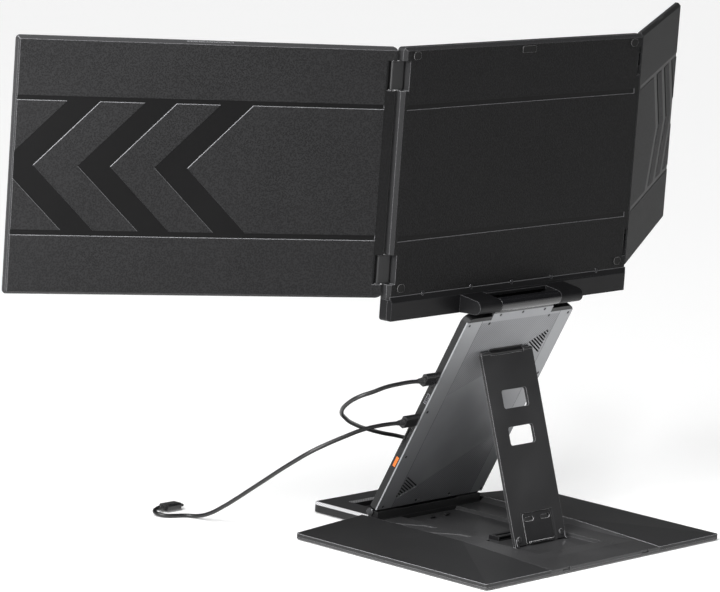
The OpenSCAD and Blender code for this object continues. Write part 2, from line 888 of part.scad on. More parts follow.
module strut_door() {
    face = strut_t / 2 - door_sink;
    color([0.08, 0.08, 0.085]) at_strut() translate([door_x, 0, 0]) difference() {
        union() {
            intersection() {
                strut_down(door_top + fit, strut_len, door_w / 2, strut_t / 2 - door_t, face);
                strut_round(door_top + fit, strut_len + door_r, door_w / 2, door_r);
            }
            strut_down(strut_len - rail_w, strut_len, rail_x, strut_t / 2 - door_t,
                strut_t / 2 + rail_proud);
        }
        door_slots();
    }
}

module strut_foot_pin() {
    clip_t = strut_t / 2 + clip_r;
    foot_t = strut_t / 2 + clip_foot_r + fit;
    low = strut_len + clip_foot_down;
    color([0.75, 0.75, 0.77]) at_strut() both() {
        translate([0, strut_len, 0]) x_rod(foot_pin_r, foot_pin_in, foot_pin_out);
        translate([clip_x, clip_down, clip_t]) rotate([-90, 0, 0])
            cylinder(r = clip_r, h = low - clip_down);
        translate([0, low, foot_t]) x_rod(clip_foot_r, clip_x - clip_foot_w / 2,
            clip_x + clip_foot_w / 2);
    }
}

// ---- display panels, in a panel frame: X outward from the inner edge, Y = 0 the back face ----

module panel_form(w, h, t, inner) {
    c = chamfer;
    intersection() {
        linear_extrude(h) polygon([[0, -t], [w, -t], [w, -c], [w - c, 0], [inner, 0], [0, -inner]]);
        x_prism([[-t, 0], [0, c], [0, h - c], [-c, h], [-t, h]], 0, w);
        rotate([90, 0, 0]) round_slab(w, h, t, panel_r);
    }
}

// the layer of a panel that belongs to its bezel
module front_layer(w, h, t) {
    translate([-cut, -t - cut, -cut]) cube([w + 2 * cut, bezel_t + cut, h + 2 * cut]);
}

module shell(w, h, t, inner, left_rib, right_rib) {
    edge = rim_w + chamfer / 2;
    difference() {
        panel_form(w, h, t, inner);
        front_layer(w, h, t);
        translate([left_rib, -t - cut, edge])
            cube([w - left_rib - right_rib, t - skin + cut, h - 2 * edge]);
    }
}

module bezel_ring(w, h, t, inner, x0, z0) {
    difference() {
        intersection() {
            panel_form(w, h, t, inner);
            front_layer(w, h, t);
        }
        translate([x0, -t - cut, z0]) cube([glass_w, bezel_t + 2 * cut, glass_h]);
    }
}

module glass(t, x0, z0) {
    lap = glass_lap;
    step = glass_step;
    translate([x0 - lap, -t + bezel_t, z0 - lap])
        cube([glass_w + 2 * lap, glass_t, glass_h + 2 * lap]);
    translate([x0 + step, -t + glass_sink, z0 + step])
        cube([glass_w - 2 * step, bezel_t - glass_sink, glass_h - 2 * step]);
}

module display_board(x0, z0) {
    translate([x0 + display_board_x, -skin - board_lift - display_board_t, z0 + display_board_y])
        cube([display_board_w, display_board_t, display_board_h]);
}

// hinge pocket of one panel: from its edge inwards, between two depths
module pocket_cut(z, reach, y0, y1) {
    translate([-cut, -y1, z - pocket_h / 2]) cube([reach + cut, y1 - y0, pocket_h]);
}

// hole for a link's pin above and below a pocket
module pin_cut(z, inset, depth) {
    translate([inset, -depth, z - pocket_h / 2 - small_pin_over - fit])
        cylinder(r = small_pin_r + fit, h = pocket_h + 2 * small_pin_over + 2 * fit);
}

// raised and sunk fields of a side panel: points are measured from the corner of the flat back
arrow_a = [[277.3, 174.6], [235.5, 174.6], [295.1, 115.6], [235.5, 56.6], [277.3, 56.6],
    [336.4, 115.6]];
arrow_b = [[205.5, 174.6], [163.8, 174.6], [223.2, 115.6], [163.8, 56.6], [205.5, 56.6],
    [264.6, 115.6]];
big_field = [[132.9, 174.6], [191.9, 115.6], [132.9, 56.6], [field_s0, 56.6], [field_s0, 174.6]];
corner_a = [[field_s1, 174.6], [308, 174.6], [field_s1, 128.2]];
corner_b = [[field_s1, 103], [308, 56.6], [field_s1, 56.6]];

module raised(points) {
    translate([chamfer, 0, chamfer]) rotate([90, 0, 0]) translate([0, 0, -cut])
        linear_extrude(recess + 2 * cut) polygon(points);
}

module side_relief() {
    difference() {
        translate([chamfer + field_s0, -recess, chamfer + band_z0])
            cube([field_s1 - field_s0, recess + cut, band_z1 - band_z0]);
        raised(arrow_a);
        raised(arrow_b);
        raised(big_field);
        raised(corner_a);
        raised(corner_b);
    }
}

module finger_notch(w) {
    translate([w / 2 - notch_w / 2, -chamfer + notch_back, panel_h - notch_t])
        cube([notch_w, chamfer, notch_t + cut]);
}

module side_shell(w, rib) {
    difference() {
        shell(w, panel_h, panel_t, edge_break, rib, rim_w);
        side_relief();
        finger_notch(w);
        children();
    }
}

function margin_z(h) = (h - glass_h) / 2;

module side_bezel(w, glass_x) {
    difference() {
        bezel_ring(w, panel_h, panel_t, edge_break, glass_x, margin_z(panel_h));
        children();
    }
}

// heights of the two hinges in a side panel's own frame
side_hinges = [hinge_low - side_z0, hinge_high - side_z0];

module right_back_cover() {
    color([0.07, 0.07, 0.075]) on_right() side_shell(side_w, hinge_rib) {
        for (z = side_hinges) {
            pocket_cut(z, pocket_side, -cut, pocket_floor);
            pocket_cut(z, pocket_front, -cut, panel_t + cut);
            pin_cut(z, link_inset_side, link_depth);
        }
        translate([-cut, -strip_sink, side_hinges[0] - pocket_h / 2])
            cube([strip_x + cut, strip_sink + cut, side_hinges[1] - side_hinges[0] + pocket_h]);
    }
}

module right_bezel() {
    color([0.03, 0.03, 0.03]) on_right() side_bezel(side_w, side_glass_x) for (z = side_hinges) {
        pocket_cut(z, pocket_front, -cut, panel_t + cut);
        pin_cut(z, link_inset_side, link_depth);
    }
}

module right_glass() {
    color([0.01, 0.01, 0.015]) on_right() glass(panel_t, side_glass_x, margin_z(panel_h));
}

module right_display_board() {
    color([0.05, 0.16, 0.09]) on_right() display_board(hinge_rib, margin_z(panel_h));
}

module left_back_cover() {
    color([0.07, 0.07, 0.075]) on_left() side_shell(left_w, left_rib)
        for (z = side_hinges) pocket_cut(z, notch_side, notch_skin, panel_t + cut);
}

module left_bezel() {
    color([0.03, 0.03, 0.03]) on_left() side_bezel(left_w, left_glass_x)
        for (z = side_hinges) pocket_cut(z, notch_side, notch_skin, panel_t + cut);
}

module left_glass() {
    color([0.01, 0.01, 0.015]) on_left() glass(panel_t, left_glass_x, margin_z(panel_h));
}

module left_display_board() {
    color([0.05, 0.16, 0.09]) on_left() display_board(left_rib, margin_z(panel_h));
}

// ---- centre panel and chin ----

// height of the visible panel above the chin's lip
centre_h = centre_z1 - centre_z0;

module at_centre() {
    translate([-centre_w / 2, back_y, centre_z0]) children();
}

// the panel runs on a little below its lower edge, where the chin covers its rounded corners
module centre_form() {
    intersection() {
        translate([0, 0, -panel_r]) panel_form(centre_w, centre_h + panel_r, centre_t, chamfer);
        translate([-cut, -centre_t - cut, 0])
            cube([centre_w + 2 * cut, centre_t + 2 * cut, centre_h]);
    }
}

module centre_edges() {
    for (z = [hinge_low - centre_z0, hinge_high - centre_z0]) {
        translate([centre_w, 0, 0]) mirror([1, 0, 0]) {
            pocket_cut(z, pocket_centre, -cut, centre_t + cut);
            pin_cut(z, link_inset_centre, centre_t - panel_t + link_depth);
        }
        pocket_cut(z, notch_centre, -cut, centre_t + cut);
    }
}

module centre_back_cover() {
    edge = rim_w + chamfer / 2;
    color([0.07, 0.07, 0.075]) at_centre() difference() {
        centre_form();
        front_layer(centre_w, centre_h, centre_t);
        translate([centre_rib, -centre_t - cut, edge])
            cube([centre_w - 2 * centre_rib, centre_t - skin + cut, centre_h - 2 * edge]);
        for (z = [groove_z0, groove_z1])
            translate([centre_w / 2 + groove_x0, -recess, bend_z - centre_z0 + z - groove_h])
                cube([groove_x1 - groove_x0, recess + cut, groove_h]);
        centre_edges();
    }
}

module centre_bezel() {
    color([0.03, 0.03, 0.03]) at_centre() difference() {
        intersection() {
            centre_form();
            front_layer(centre_w, centre_h, centre_t);
        }
        translate([(centre_w - glass_w) / 2, -centre_t - cut, margin_z(centre_h)])
            cube([glass_w, bezel_t + 2 * cut, glass_h]);
        centre_edges();
    }
}

module centre_glass() {
    color([0.01, 0.01, 0.015]) at_centre()
        glass(centre_t, (centre_w - glass_w) / 2, margin_z(centre_h));
}

module centre_display_board() {
    color([0.05, 0.16, 0.09]) at_centre()
        display_board((centre_w - glass_w) / 2, margin_z(centre_h));
}

// the chin's outline seen from above: its rear corners carry the panel's chamfer
module chin_plan() {
    half = centre_w / 2;
    translate([0, 0, chin_bottom]) linear_extrude(bend_z - chin_bottom)
        polygon([[-half, chin_front], [half, chin_front], [half, chin_back - chamfer],
            [half - chamfer, chin_back], [-half + chamfer, chin_back], [-half, chin_back - chamfer]]);
}

module chin_cover() {
    inner = chin_wall;
    color([0.08, 0.08, 0.085]) difference() {
        intersection() {
            x_prism([[chin_front, chin_bottom], [chin_back, chin_bottom],
                [chin_back, bend_z - chin_bevel], [back_y, bend_z], [back_y, chin_lip],
                [chin_front, chin_lip]], -centre_w / 2, centre_w / 2);
            chin_plan();
            translate([-centre_w / 2, chin_back, chin_bottom]) rotate([90, 0, 0])
                round_slab(centre_w, bend_z - chin_bottom + chin_r, chin_back - chin_front, chin_r);
        }
        translate([-centre_w / 2 + chin_end, chin_front + inner, chin_bottom + inner])
            cube([centre_w - 2 * chin_end, chin_back - chin_front - 2 * inner,
                chin_lip - chin_bottom - 2 * inner]);
        dome_places() cylinder(r = dome_r + head_clear, h = 2 * dome_h + cut);
    }
}

module dome_places() {
    for (x = [0, dome_x1, -dome_x1, dome_x2, -dome_x2])
        translate([x, back_y, bend_z]) rotate([-90, 0, 0]) children();
}

module chin_screws() {
    color([0.1, 0.1, 0.1]) dome_places() {
        cylinder(r = dome_r, h = dome_h / 2);
        translate([0, 0, dome_h / 2]) cylinder(r1 = dome_r, r2 = dome_r * 0.6, h = dome_h / 2);
    }
}

module bumper(x, z, w, h, r) {
    translate([x - w / 2, back_y + bumper_t, z - h / 2]) rotate([90, 0, 0])
        round_slab(w, h, bumper_t, r);
}

module centre_bumpers() {
    color([0.04, 0.04, 0.04]) {
        for (x = [-bumper_x, bumper_x]) for (z = [bumper_hi, bumper_lo])
            bumper(x, bend_z + z, bumper_w, bumper_h, bumper_r);
        bumper(0, bend_z + bumper_hi, bumper_mid_w, bumper_mid_h, bumper_mid_r);
    }
}

// side view of one ear: a round end on the axis that widens into the chin
module ear_side(x0, x1) {
    translate([0, tilt_y, tilt_z]) x_rod(tilt_r, x0, x1);
    x_prism([[chin_back, tilt_z - ear_root], [tilt_y - ear_reach, tilt_z - ear_waist],
        [tilt_y - ear_tuck, tilt_z - tilt_r + fit], [tilt_y, tilt_z],
        [tilt_y + 2 * ear_tuck, tilt_z + tilt_r - 4 * fit], [chin_back, bend_z - chin_bevel]], x0, x1);
}

module tilt_bracket() {
    top = bend_z - chin_bevel;
    color([0.08, 0.08, 0.085]) difference() {
        union() {
            both() ear_side(tilt_ear_in, tilt_ear_out);
            x_prism([[chin_back, top - ledge_h], [chin_back + ledge_d, top - ledge_h - ledge_drop],
                [chin_back + ledge_d, top - ledge_drop], [chin_back, top]], -tilt_ear_in, tilt_ear_in);
        }
        translate([0, tilt_y, tilt_z]) x_rod(tilt_pin_r + fit, -tilt_ear_out - cut,
            tilt_ear_out - ear_end);
    }
}

// ---- hinges of the side panels ----

module right_hinge_pins_centre() {
    color([0.3, 0.3, 0.31]) for (z = [hinge_low, hinge_high])
        translate([link_x, link_y, z - pocket_h / 2 - small_pin_over])
            cylinder(r = small_pin_r, h = pocket_h + 2 * small_pin_over);
}

module right_hinge_pins_side() {
    color([0.3, 0.3, 0.31]) for (z = [hinge_low, hinge_high])
        translate([far_x, far_y, z - pocket_h / 2 - small_pin_over])
            cylinder(r = small_pin_r, h = pocket_h + 2 * small_pin_over);
}

module right_hinge_links() {
    color([0.06, 0.06, 0.065]) for (z = [hinge_low, hinge_high])
        translate([link_x, link_y, z - link_h / 2]) rotate([0, 0, -right_fold]) difference() {
            union() {
                for (x = [0, link_pitch]) translate([x, 0, 0]) cylinder(r = link_r, h = link_h);
                translate([0, -link_r, 0]) cube([link_pitch, 2 * link_r, link_h]);
            }
            translate([-link_r - cut, -link_r - cut, -cut])
                cube([link_pitch + 2 * link_r + 2 * cut, link_r - link_flat + cut, link_h + 2 * cut]);
            for (x = [0, link_pitch]) translate([x, 0, -cut])
                cylinder(r = small_pin_r + fit, h = link_h + 2 * cut);
        }
}

// one knuckle with its leaf, which reaches to the inner wall of its own notch
module knuckle(t, reach, z0, z1) {
    difference() {
        union() {
            translate([-left_gap, -t - left_front, z0]) cylinder(r = left_knuckle_r, h = z1 - z0);
            translate([-left_gap, -t + leaf_lift, z0]) cube([left_gap + reach, leaf_t, z1 - z0]);
        }
        translate([-left_gap, -t - left_front, z0 - cut])
            cylinder(r = small_pin_r + fit, h = z1 - z0 + 2 * cut);
    }
}

module left_hinge_knuckles_centre() {
    color([0.05, 0.05, 0.055]) for (z = [hinge_low, hinge_high])
        translate([-centre_w / 2, back_y, 0])
            knuckle(centre_t, notch_centre, z - left_mid_h / 2, z + left_mid_h / 2);
}

module left_hinge_pins() {
    color([0.3, 0.3, 0.31]) for (z = [hinge_low, hinge_high])
        translate([left_x, left_y, z - left_mid_h / 2 - left_step - left_out_h])
            cylinder(r = small_pin_r, h = left_mid_h + 2 * left_step + 2 * left_out_h);
}

module left_hinge_knuckles_side() {
    near = left_mid_h / 2 + left_step;
    color([0.05, 0.05, 0.055]) on_left() for (z = side_hinges) {
        knuckle(panel_t, notch_side, z + near, z + near + left_out_h);
        knuckle(panel_t, notch_side, z - near - left_out_h, z - near);
    }
}

// ---- cables ----

function unit(v) = v / norm(v);
function heading(p, i) = unit(p[min(i + 1, len(p) - 1)] - p[max(i - 1, 0)]);
function bent(a, b, c, d, t) = 0.5 * ((2 * b) + (c - a) * t + (2 * a - 5 * b + 4 * c - d) * t * t
    + (3 * b - a - 3 * c + d) * t * t * t);
function smooth(p, k) = concat([for (i = [0 : len(p) - 2]) for (j = [0 : k - 1])
    bent(p[max(i - 1, 0)], p[i], p[i + 1], p[min(i + 2, len(p) - 1)], j / k)], [p[len(p) - 1]]);
function frames(p) = [for (i = 0, n = unit(cross(heading(p, 0), [0, 0.3, 1])); i < len(p);
    i = i + 1, n = i < len(p) ? unit(n - (n * heading(p, i)) * heading(p, i)) : n) n];

module tube(p, r, sides) {
    n = frames(p);
    last = len(p) - 1;
    rings = [for (i = [0 : last]) for (s = [0 : sides - 1])
        p[i] + r * (cos(360 * s / sides) * n[i] + sin(360 * s / sides) * cross(heading(p, i), n[i]))];
    walls = [for (i = [0 : last - 1]) for (s = [0 : sides - 1]) let (q = (s + 1) % sides)
        for (f = [[i * sides + s, (i + 1) * sides + s, (i + 1) * sides + q],
            [i * sides + s, (i + 1) * sides + q, i * sides + q]]) f];
    near_end = [for (s = [0 : sides - 1]) s];
    far_end = [for (s = [sides - 1 : -1 : 0]) last * sides + s];
    polyhedron(rings, concat(walls, [near_end, far_end]));
}

module lower_cable() {
    color([0.04, 0.04, 0.04]) tube(smooth(lower_path, 3), cable_d / 2, cable_ring);
}

module lower_cable_end_plug() {
    color([0.05, 0.05, 0.05]) translate([end_plug_x - plug_l, end_plug_y, end_plug_z])
        plug_body();
}

module upper_cable() {
    color([0.04, 0.04, 0.04]) tube(smooth(upper_path, 3), cable_d / 2, cable_ring);
}

module upper_cable_coil() {
    color([0.04, 0.04, 0.04]) for (layer = [0, 1]) for (turn = [0, 1])
        translate([coil_x, coil_y, cable_d / 2 + layer * coil_pitch]) rotate_extrude($fn = 64)
            translate([coil_r + turn * coil_pitch, 0]) circle(r = cable_d / 2, $fn = 16);
}

module upper_cable_end_plug() {
    color([0.05, 0.05, 0.05]) translate([spare_plug_x - plug_l, spare_plug_y, plug_t / 2])
        plug_body();
}

base_pan();
right_wing_cover();
left_wing_cover();
base_tray();
strut_catch();
hook_tabs();
front_foot_frame();
front_foot_trim();
arm_hinge_brackets();
arm_hinge_caps();
rubber_feet();
base_screws();
arm_frame();
arm_back_cover();
arm_cover_screws();
control_board();
arm_hinge_barrel();
arm_hinge_pin();
upper_usb_port();
lower_usb_port();
mini_video_port();
strut_hinge_bracket();
strut_hinge_pin();
tilt_barrel();
tilt_shaft();
upper_cable_plug();
lower_cable_plug();
power_button();
menu_dial();
strut_plate();
strut_door();
strut_foot_pin();
centre_back_cover();
centre_bezel();
centre_glass();
centre_display_board();
chin_cover();
chin_screws();
centre_bumpers();
tilt_bracket();
right_hinge_pins_centre();
left_hinge_knuckles_centre();
left_hinge_pins();
right_hinge_links();
right_back_cover();
right_bezel();
right_glass();
right_display_board();
right_hinge_pins_side();
left_back_cover();
left_bezel();
left_glass();
left_display_board();
left_hinge_knuckles_side();
lower_cable();
lower_cable_end_plug();
upper_cable();
upper_cable_coil();
upper_cable_end_plug();
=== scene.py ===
"""Looks of the laptop screen extender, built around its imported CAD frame. Metres, Z up."""

import json
import math

import bpy
from mathutils import Matrix, Vector


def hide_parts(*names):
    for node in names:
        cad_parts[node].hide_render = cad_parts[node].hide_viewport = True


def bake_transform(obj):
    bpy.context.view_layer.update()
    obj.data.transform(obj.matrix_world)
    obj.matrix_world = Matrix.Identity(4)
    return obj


MM = 0.001

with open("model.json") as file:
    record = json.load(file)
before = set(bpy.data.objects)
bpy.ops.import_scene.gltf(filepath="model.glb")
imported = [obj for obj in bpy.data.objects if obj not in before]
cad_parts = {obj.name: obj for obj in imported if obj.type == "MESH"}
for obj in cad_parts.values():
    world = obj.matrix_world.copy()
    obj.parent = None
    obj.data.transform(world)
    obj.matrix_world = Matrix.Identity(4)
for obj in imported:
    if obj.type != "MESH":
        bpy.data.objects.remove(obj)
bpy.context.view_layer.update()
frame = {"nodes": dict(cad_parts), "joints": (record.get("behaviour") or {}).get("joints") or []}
nodes = frame["nodes"]
scene = bpy.context.scene

# ---- camera, at the photograph's viewing angle ----

VIEW_AZIMUTH = math.radians(130.25)
VIEW_ELEVATION = math.radians(9.81)
VIEW_ROLL = math.radians(4.06)
VIEW_DISTANCE = 3.67806
VIEW_TARGET = Vector((0.25375, 0.120, 0.26323))
LENS = 201.25  # millimetres, on Blender's 36 mm sensor
FAR_CLIP = 20


def add_camera():
    sin_a, cos_a = math.sin(VIEW_AZIMUTH), math.cos(VIEW_AZIMUTH)
    sin_e, cos_e = math.sin(VIEW_ELEVATION), math.cos(VIEW_ELEVATION)
    back = Vector((sin_a * cos_e, -cos_a * cos_e, sin_e))
    right = Vector((cos_a, sin_a, 0))
    up = back.cross(right)
    cos_r, sin_r = math.cos(VIEW_ROLL), math.sin(VIEW_ROLL)
    right, up = cos_r * right + sin_r * up, cos_r * up - sin_r * right
    data = bpy.data.cameras.new("camera")
    data.lens = LENS
    data.clip_end = FAR_CLIP
    camera = bpy.data.objects.new("camera", data)
    scene.collection.objects.link(camera)
    place = Matrix((right, up, back)).transposed().to_4x4()
    place.translation = VIEW_TARGET + VIEW_DISTANCE * back
    camera.matrix_world = place
    scene.camera = camera


add_camera()

# ---- floor and light ----

FLOOR_SIZE = 14
FLOOR_HEIGHT = -0.0002  # just under the object's lowest point
FLOOR_WHITE = 0.95
FLOOR_ROUGHNESS = 0.6
FLOOR_GLOW = 0.12  # lifts the far floor to the photograph's white

# how the surroundings change with the sine of the angle above the horizon: where the change
# starts and ends, then the strength before and after it
DIM_SKY = (0.05, 0.9, 0.014, 0.05)
HORIZON_GLOW = (0.10, 0.22, 0.50, 0.0)


def aimed_lamp(name, data, place, aim):
    lamp = bpy.data.objects.new(name, data)
    scene.collection.objects.link(lamp)
    lamp.location = place
    direction = Vector(aim) - Vector(place)
    lamp.rotation_euler = direction.to_track_quat("-Z", "Y").to_euler()


def softbox(name, place, aim, size, power):
    data = bpy.data.lights.new(name, "AREA")
    data.shape = "RECTANGLE"
    data.size = data.size_y = size
    data.energy = power
    aimed_lamp(name, data, place, aim)


def overhead(name, place, strength, angle):
    """Broad even light from one side of the ceiling, with soft shadows."""
    data = bpy.data.lights.new(name, "SUN")
    data.energy = strength
    data.angle = math.radians(angle)
    aimed_lamp(name, data, place, (0, 0, 0))


def add_world():
    """Dim overhead, where the lamps do the work, and pale grey round the horizon."""
    world = bpy.data.worlds.new("studio")
    world.use_nodes = True
    tree = world.node_tree
    background = tree.nodes["Background"]
    background.inputs["Color"].default_value = (1, 1, 1, 1)
    split = tree.nodes.new("ShaderNodeSeparateXYZ")
    tree.links.new(tree.nodes.new("ShaderNodeTexCoord").outputs["Generated"], split.inputs[0])
    total = tree.nodes.new("ShaderNodeMath")
    for socket, (low, high, below, above) in enumerate((DIM_SKY, HORIZON_GLOW)):
        part = tree.nodes.new("ShaderNodeMapRange")
        part.interpolation_type = "SMOOTHSTEP"
        for name, number in (("From Min", low), ("From Max", high), ("To Min", below),
                             ("To Max", above)):
            part.inputs[name].default_value = number
        tree.links.new(split.outputs["Z"], part.inputs["Value"])
        tree.links.new(part.outputs["Result"], total.inputs[socket])
    tree.links.new(total.outputs[0], background.inputs["Strength"])
    scene.world = world


def add_stage():
    bpy.ops.mesh.primitive_plane_add(size=FLOOR_SIZE, location=(0, 0, FLOOR_HEIGHT))
    floor = bpy.context.object
    floor.name = "floor"
    paint = bpy.data.materials.new("floor_paint")
    paint.use_nodes = True
    shader = paint.node_tree.nodes["Principled BSDF"]
    shader.inputs["Base Color"].default_value = (FLOOR_WHITE, FLOOR_WHITE, FLOOR_WHITE, 1)
    shader.inputs["Roughness"].default_value = FLOOR_ROUGHNESS
    shader.inputs["Emission Color"].default_value = (1, 1, 1, 1)
    shader.inputs["Emission Strength"].default_value = FLOOR_GLOW
    floor.data.materials.append(paint)
    scene.view_settings.view_transform = "Standard"
    add_world()
    overhead("key", place=(0.60, 0.1, 0.9), strength=3.3, angle=50)
    softbox("side_soft", place=(1.12, 0.25, 0.62), aim=(0.2, 0.0, 0.3), size=0.6, power=15)
    softbox("top_soft", place=(0.35, 0.85, 1.5), aim=(0, 0.05, 0.35), size=0.9, power=6)


add_stage()

# ---- materials ----

MIX_A, MIX_B, MIX_RESULT = 6, 7, 2  # the colour sockets of a Mix node
FLAT, SHARP = 0.995, 0.85  # how well a rounded normal agrees with the bare one


class Paint:
    """One procedural material, built step by step in the piece's own coordinates."""

    def __init__(self, name):
        self.material = bpy.data.materials.new(name)
        self.material.use_nodes = True
        self.tree = self.material.node_tree
        self.shader = self.tree.nodes["Principled BSDF"]
        self.place = self.node("ShaderNodeTexCoord").outputs["Object"]

    def node(self, kind, **settings):
        made = self.tree.nodes.new(kind)
        for key, value in settings.items():
            setattr(made, key, value)
        return made

    def link(self, a, b):
        self.tree.links.new(a, b)

    def math(self, operation, a, b=0.0, clamp=False):
        made = self.node("ShaderNodeMath", operation=operation, use_clamp=clamp)
        for socket, value in zip(made.inputs, (a, b)):
            if isinstance(value, (int, float)):
                socket.default_value = value
            else:
                self.link(value, socket)
        return made.outputs[0]

    def ramp(self, value, low, high, to_low=0.0, to_high=1.0):
        """Maps a value between low and high to the span from to_low to to_high, and clamps it."""
        made = self.node("ShaderNodeMapRange")
        self.link(value, made.inputs["Value"])
        for name, number in (("From Min", low), ("From Max", high), ("To Min", to_low),
                             ("To Max", to_high)):
            made.inputs[name].default_value = number
        return made.outputs["Result"]

    def noise(self, size, detail=2.0):
        """Soft random values from 0 to 1, with features of about this size in metres."""
        made = self.node("ShaderNodeTexNoise")
        made.inputs["Scale"].default_value = 1 / size
        made.inputs["Detail"].default_value = detail
        self.link(self.place, made.inputs["Vector"])
        return made.outputs["Fac"]

    def line(self, value, at, half):
        """1 on a thin line where the value is near a level, and 0 elsewhere."""
        away = self.math("ABSOLUTE", self.math("SUBTRACT", value, at))
        return self.ramp(away, half, half * 0.5)

    def cells(self, size):
        """Distance to the nearest of scattered points, as a share of their spacing in metres."""
        made = self.node("ShaderNodeTexVoronoi")
        made.inputs["Scale"].default_value = 1 / size
        self.link(self.place, made.inputs["Vector"])
        return made.outputs["Distance"]

    def mix(self, factor, a, b):
        """Blends two colours; a and b are colours or sockets."""
        made = self.node("ShaderNodeMix", data_type="RGBA")
        self.link(factor, made.inputs["Factor"])
        for socket, value in ((made.inputs[MIX_A], a), (made.inputs[MIX_B], b)):
            if isinstance(value, tuple):
                socket.default_value = (*value, 1)
            else:
                self.link(value, socket)
        return made.outputs[MIX_RESULT]

    def edge_normal(self, radius):
        """The face's normal, turned as if each edge were rounded by this radius."""
        made = self.node("ShaderNodeBevel", samples=4)
        made.inputs["Radius"].default_value = radius
        return made.outputs["Normal"]

    def own_normal(self, normal=None):
        """A normal in the piece's own coordinates; without one, that of the bare face."""
        turn = self.node("ShaderNodeVectorTransform", vector_type="NORMAL", convert_from="WORLD",
                         convert_to="OBJECT")
        self.link(normal or self.node("ShaderNodeNewGeometry").outputs["True Normal"],
                  turn.inputs[0])
        return turn.outputs[0]

    def facing(self, normal, direction):
        """How far a normal looks along a direction, from -1 to 1."""
        made = self.node("ShaderNodeVectorMath", operation="DOT_PRODUCT")
        self.link(normal, made.inputs[0])
        made.inputs[1].default_value = direction
        return made.outputs["Value"]

    def edges(self, radius):
        """1 along sharp edges and 0 on flat faces."""
        made = self.node("ShaderNodeVectorMath", operation="DOT_PRODUCT")
        self.link(self.edge_normal(radius), made.inputs[0])
        self.link(self.node("ShaderNodeNewGeometry").outputs["Normal"], made.inputs[1])
        return self.ramp(made.outputs["Value"], FLAT, SHARP)

    def relief(self, height, depth, normal=None):
        """Bump of this depth in metres."""
        made = self.node("ShaderNodeBump")
        made.inputs["Strength"].default_value = 1.0
        made.inputs["Distance"].default_value = depth
        self.link(height, made.inputs["Height"])
        if normal is not None:
            self.link(normal, made.inputs["Normal"])
        return made.outputs["Normal"]

    def finish(self, colour, roughness, normal, metallic=0.0, coat=0.0, specular=0.5):
        shader = self.shader.inputs
        self.link(colour, shader["Base Color"])
        self.link(roughness, shader["Roughness"])
        self.link(normal, shader["Normal"])
        shader["Metallic"].default_value = metallic
        shader["Coat Weight"].default_value = coat
        shader["Specular IOR Level"].default_value = specular
        return self.material


def grey(value):
    """A very slightly cool grey."""
    return value, value, value * 1.04


CLOUD_SIZE = 45 * MM
CLOUD_DARK, CLOUD_LIGHT = 0.82, 1.18


def grained(name, colour, roughness, grain, depth, edge_highlight_colour, edge=0.5 * MM, metallic=0.0,
            coat=0.0, specular=0.5):
    """A surface with fine grain, slight cloudiness, uneven gloss and a painted highlight along its
    sharp edges, in a paler edge colour.
    """
    paint = Paint(name)
    cloud = paint.noise(CLOUD_SIZE, 3)
    fine = paint.noise(grain, 2)
    dark = tuple(CLOUD_DARK * c for c in colour)
    light = tuple(CLOUD_LIGHT * c for c in colour)
    base = paint.mix(paint.ramp(cloud, 0.3, 0.7), dark, light)
    # painted highlight: sharp edges painted in the paler edge highlight colour
    shown = paint.mix(paint.edges(edge), base, edge_highlight_colour)
    rough = paint.math("ADD", paint.ramp(fine, 0.2, 0.8, roughness - 0.06, roughness + 0.06),
                       paint.ramp(cloud, 0.3, 0.7, -0.04, 0.04))
    normal = paint.relief(fine, depth, paint.edge_normal(edge))
    return paint.finish(shown, rough, normal, metallic, coat, specular)


COVER_EDGE = 0.6 * MM
# the direction the key light comes from: chamfers and edges that face it get a painted highlight,
# edges that face away a painted shadow line
KEY_LIGHT_SIDE = (0.62, 0.25, 0.74)  # up, and to the user's right


